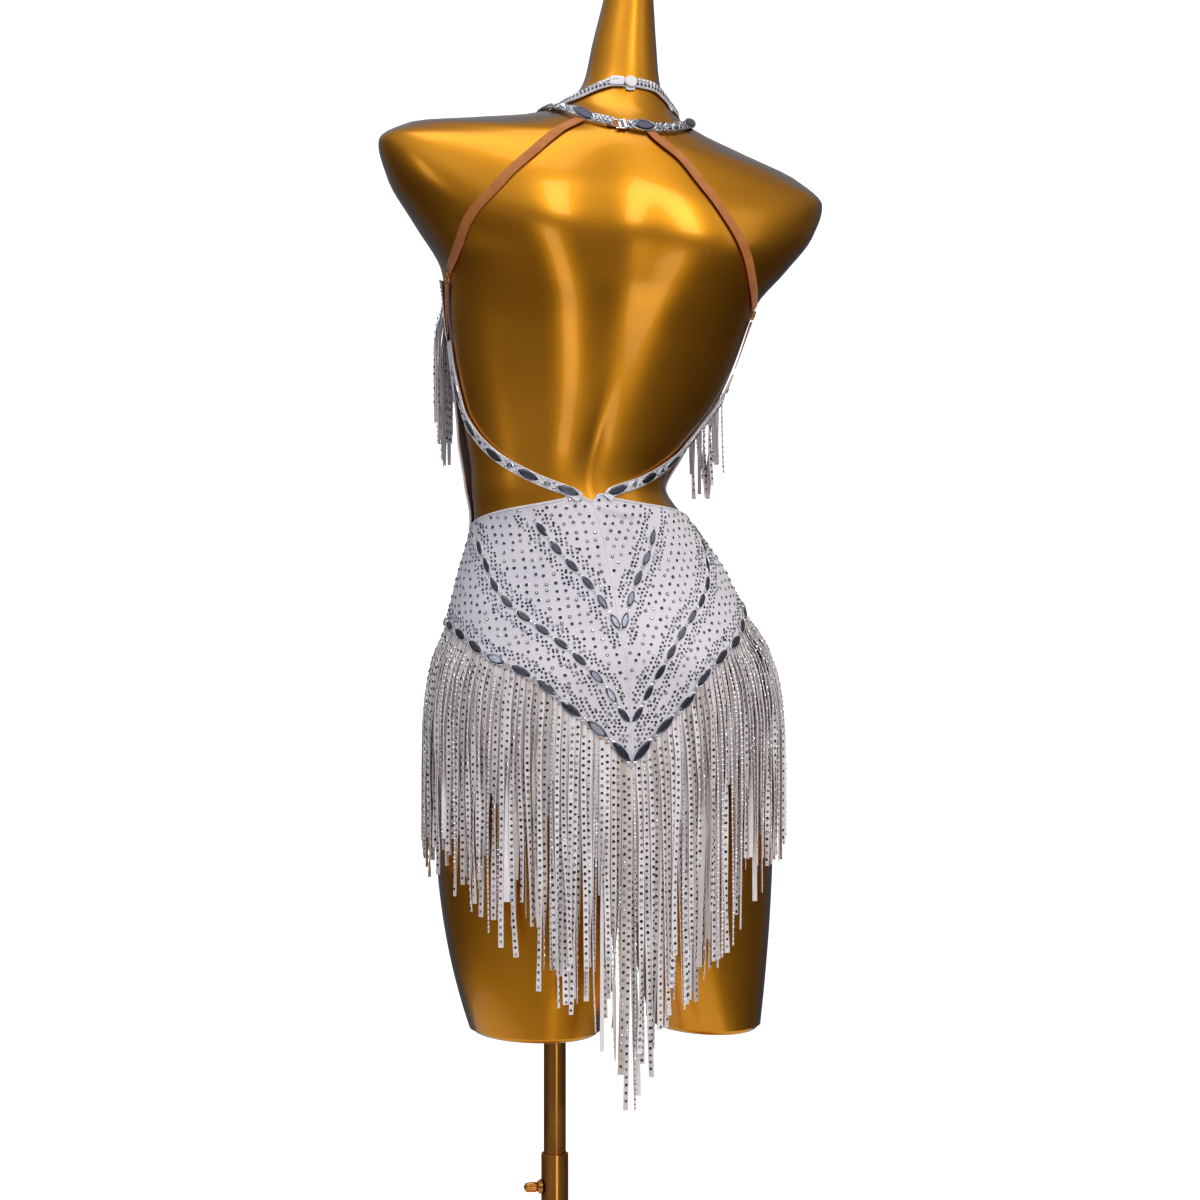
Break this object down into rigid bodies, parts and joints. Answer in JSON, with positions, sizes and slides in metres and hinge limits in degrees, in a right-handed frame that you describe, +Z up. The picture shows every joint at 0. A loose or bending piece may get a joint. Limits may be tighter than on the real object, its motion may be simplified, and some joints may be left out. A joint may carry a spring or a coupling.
{
  "type": "fringed salsa dance dress on a limbless dress form with a stand",
  "caption": "Backless white dance dress with gem chains, halter straps and long fringe, worn by a gold limbless dress form on a pole and round base.",
  "frame": {"origin": "centre of the base plate's underside, on the pole's axis", "axes": "+Z up; the form's back faces -Y, the wearer would face +Y, and +X is the wearer's right"},
  "size_m": [0.4686, 0.38, 1.561],
  "materials": {
    "form_gold": "gloss metallic gold",
    "pole_bronze": "polished bronze plating",
    "white_stretch": "satin stretch knit",
    "fringe_tape": "pearly flat fringe",
    "gem_trim": "faceted foiled stones",
    "tan_elastic": "ribbed skin-tone elastic",
    "ring_brass": "polished",
    "clasp_white": "gloss",
    "buckle_steel": "polished"
  },
  "bodies": {
    "root": {"base_plate": "pole_bronze", "base_hub": "pole_bronze", "outer_tube": "pole_bronze", "screw_boss": "pole_bronze"},
    "post": {"inner_pole": "pole_bronze"},
    "figure": {"dress_form": "form_gold", "back_yoke_left": "white_stretch", "back_yoke_right": "white_stretch", "front_panel": "white_stretch", "cup_left": "white_stretch", "cup_right": "white_stretch", "hip_fringe_back": "fringe_tape", "hip_fringe_front": "fringe_tape", "bust_fringe_left": "fringe_tape", "bust_fringe_right": "fringe_tape", "gem_strap_left": "gem_trim", "gem_strap_right": "gem_trim", "upper_neck_band": "gem_trim", "lower_neck_band_left": "gem_trim", "lower_neck_band_right": "gem_trim", "elastic_strap_left": "tan_elastic", "elastic_strap_right": "tan_elastic", "strap_tab_left": "tan_elastic", "strap_tab_right": "tan_elastic", "strap_ring_left": "ring_brass", "strap_ring_right": "ring_brass", "upper_clasp_tab": "clasp_white", "upper_clasp_snap": "clasp_white", "lower_clasp": "buckle_steel"},
    "clamp": {"thumb_screw": "pole_bronze"}
  },
  "joints": [
    {"name": "height", "type": "slide", "parent": "root", "child": "post", "axis": [0, 0, 1], "range_m": [-0.1, 0.15]},
    {"name": "swivel", "type": "hinge", "parent": "post", "child": "figure", "pos_m": [0, 0, 0.491], "axis": [0, 0, 1], "continuous": true},
    {"name": "clamp_turn", "type": "hinge", "parent": "root", "child": "clamp", "pos_m": [0, 0, 0.337], "axis": [-1, 0, 0], "continuous": true}
  ]
}
